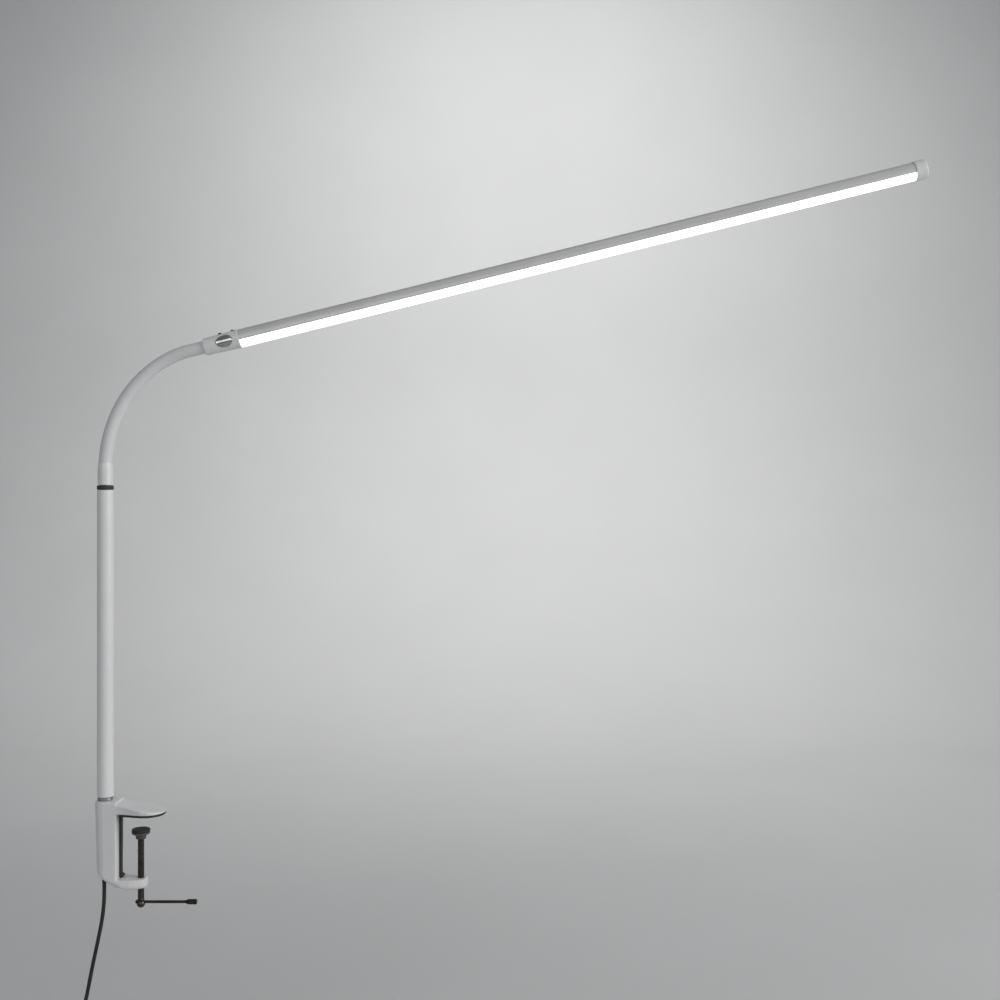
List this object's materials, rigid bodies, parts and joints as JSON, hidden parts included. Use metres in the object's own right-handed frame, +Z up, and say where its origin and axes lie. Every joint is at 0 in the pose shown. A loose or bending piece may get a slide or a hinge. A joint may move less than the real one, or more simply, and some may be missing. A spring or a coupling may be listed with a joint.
{
  "type": "clamp-on bar desk lamp",
  "caption": "White clamp-on desk lamp: a pole turns on a desk clamp, and a gooseneck at its top carries a long slim light bar with a touch plate.",
  "frame": {"origin": "the desk's top face under the upper jaw, on the clamp screw's axis", "axes": "+Z up along the pole, +X from the clamp towards the bar's far end, -Y the side with the touch plate"},
  "size_m": [0.8737, 0.0441, 1.002],
  "materials": {
    "white_paint": "satin white powder coat",
    "white_plastic": "fine satin",
    "satin_aluminium": "satin, pale grey",
    "opal": "opal, glowing when lit",
    "chrome": "polished",
    "steel": "turned",
    "dark_steel": "dark oxide",
    "brass": "plain",
    "black_rubber": "matt",
    "black_plastic": "matt",
    "natural_nylon": "natural",
    "circuit_board": "green lacquer",
    "led_board": "white lacquer"
  },
  "bodies": {
    "clamp": {"clamp_frame": "white_paint", "jaw_pad": "black_rubber", "back_pad": "black_rubber", "swivel_bush": "natural_nylon", "pole_brake_screw": "dark_steel", "strain_relief": "black_rubber", "cord": "black_plastic", "cord_coil": "black_plastic", "coil_tie": "black_plastic", "cord_tail": "black_plastic", "adapter_relief": "black_rubber", "adapter_back": "black_plastic", "adapter_front": "black_plastic", "adapter_blade_1": "brass", "adapter_blade_2": "brass", "driver_board": "circuit_board"},
    "pressure_pad": {"pressure_disc": "steel", "pressure_rubber": "black_rubber"},
    "clamp_screw_body": {"clamp_screw": "steel"},
    "tommy_bar_body": {"tommy_bar": "dark_steel", "tommy_bar_cap": "dark_steel"},
    "pole": {"foot_ring": "chrome", "pole_spigot": "steel", "pole_tube": "white_paint", "pole_plug": "steel", "pole_ring": "black_rubber", "lower_ferrule": "white_paint", "neck_stud": "steel", "pole_lead": "black_plastic"},
    "link_01": {"neck_link_01": "steel"},
    "link_02": {"neck_link_02": "steel"},
    "link_03": {"neck_link_03": "steel"},
    "link_04": {"neck_link_04": "steel"},
    "link_05": {"neck_link_05": "steel"},
    "link_06": {"neck_link_06": "steel"},
    "link_07": {"neck_link_07": "steel"},
    "link_08": {"neck_link_08": "steel"},
    "link_09": {"neck_link_09": "steel"},
    "link_10": {"neck_link_10": "steel"},
    "link_11": {"neck_link_11": "steel"},
    "link_12": {"neck_link_12": "steel"},
    "head": {"neck_end_fitting": "steel", "upper_ferrule": "white_paint", "head_socket": "white_paint", "touch_plate": "chrome", "touch_contact": "brass", "touch_board": "circuit_board", "neck_lock_screw": "dark_steel", "bar_lock_screw": "dark_steel", "bar_plug": "black_plastic", "bar_housing": "satin_aluminium", "diffuser": "opal", "led_board": "led_board", "end_cap": "white_plastic", "head_lead": "black_plastic"}
  },
  "joints": [
    {"name": "screw_feed", "type": "slide", "parent": "clamp", "child": "pressure_pad", "axis": [0, 0, 1], "range_m": [-0.0352, 0.0102]},
    {"name": "screw_turn", "type": "hinge", "parent": "pressure_pad", "child": "clamp_screw_body", "pos_m": [0, 0, -0.05], "axis": [0, 0, 1], "range_deg": [-12600, 3600], "deforming": ["cord"]},
    {"name": "tommy_bar_slide", "type": "slide", "parent": "clamp_screw_body", "child": "tommy_bar_body", "axis": [1, 0, 0], "range_m": [-0.04, 0]},
    {"name": "pole_swivel", "type": "hinge", "parent": "clamp", "child": "pole", "pos_m": [-0.0357, 0, 0], "axis": [0, 0, 1], "range_deg": [-175, 175]},
    {"name": "gooseneck_bend", "type": "hinge", "parent": "pole", "child": "link_01", "pos_m": [-0.0357, 0, 0.35199], "axis": [0, 1, 0], "range_deg": [-8.43, 6.33]},
    {"name": "gooseneck_sway", "type": "hinge", "parent": "link_01", "child": "link_02", "pos_m": [-0.03446, 0, 0.3638], "axis": [0.9892, 0, -0.1467], "range_deg": [-10, 10]},
    {"name": "gooseneck_bend_2", "type": "hinge", "parent": "link_02", "child": "link_03", "pos_m": [-0.03221, 0, 0.37546], "axis": [0, 1, 0], "range_deg": [-10.15, 7.62]},
    {"name": "gooseneck_sway_2", "type": "hinge", "parent": "link_03", "child": "link_04", "pos_m": [-0.02894, 0, 0.38687], "axis": [0.948, 0, -0.3183], "range_deg": [-10.02, 10.02]},
    {"name": "gooseneck_bend_3", "type": "hinge", "parent": "link_04", "child": "link_05", "pos_m": [-0.02465, 0, 0.39794], "axis": [0, 1, 0], "range_deg": [-10.71, 8.04]},
    {"name": "gooseneck_sway_3", "type": "hinge", "parent": "link_05", "child": "link_06", "pos_m": [-0.01935, 0, 0.40856], "axis": [0.8724, 0, -0.4887], "range_deg": [-10.02, 10.02]},
    {"name": "gooseneck_bend_4", "type": "hinge", "parent": "link_06", "child": "link_07", "pos_m": [-0.01305, 0, 0.41862], "axis": [0, 1, 0], "range_deg": [-11.28, 8.47]},
    {"name": "gooseneck_sway_4", "type": "hinge", "parent": "link_07", "child": "link_08", "pos_m": [-0.0058, 0, 0.42802], "axis": [0.7602, 0, -0.6497], "range_deg": [-10.02, 10.02]},
    {"name": "gooseneck_bend_5", "type": "hinge", "parent": "link_08", "child": "link_09", "pos_m": [0.00236, 0, 0.43664], "axis": [0, 1, 0], "range_deg": [-11.85, 8.89]},
    {"name": "gooseneck_sway_5", "type": "hinge", "parent": "link_09", "child": "link_10", "pos_m": [0.01136, 0, 0.44437], "axis": [0.6109, 0, -0.7917], "range_deg": [-10.02, 10.02]},
    {"name": "gooseneck_bend_6", "type": "hinge", "parent": "link_10", "child": "link_11", "pos_m": [0.02113, 0, 0.45111], "axis": [0, 1, 0], "range_deg": [-12.41, 9.32]},
    {"name": "gooseneck_sway_6", "type": "hinge", "parent": "link_11", "child": "link_12", "pos_m": [0.03157, 0, 0.45676], "axis": [0.4268, 0, -0.9044], "range_deg": [-10.02, 10.02]},
    {"name": "gooseneck_bend_7", "type": "hinge", "parent": "link_12", "child": "head", "pos_m": [0.04257, 0, 0.46122], "axis": [0, 1, 0], "range_deg": [-11.38, 8.54]}
  ],
  "couplings": [
    {"joint": "screw_feed", "follows": "screw_turn", "m_per_rad": 0.00015915},
    {"joint": "gooseneck_bend_2", "follows": "gooseneck_bend", "ratio": 1.2008},
    {"joint": "gooseneck_sway_2", "follows": "gooseneck_sway", "ratio": 1},
    {"joint": "gooseneck_bend_3", "follows": "gooseneck_bend", "ratio": 1.268},
    {"joint": "gooseneck_sway_3", "follows": "gooseneck_sway", "ratio": 1},
    {"joint": "gooseneck_bend_4", "follows": "gooseneck_bend", "ratio": 1.3352},
    {"joint": "gooseneck_sway_4", "follows": "gooseneck_sway", "ratio": 1},
    {"joint": "gooseneck_bend_5", "follows": "gooseneck_bend", "ratio": 1.4024},
    {"joint": "gooseneck_sway_5", "follows": "gooseneck_sway", "ratio": 1},
    {"joint": "gooseneck_bend_6", "follows": "gooseneck_bend", "ratio": 1.4695},
    {"joint": "gooseneck_sway_6", "follows": "gooseneck_sway", "ratio": 1},
    {"joint": "gooseneck_bend_7", "follows": "gooseneck_bend", "ratio": 1.3471}
  ]
}
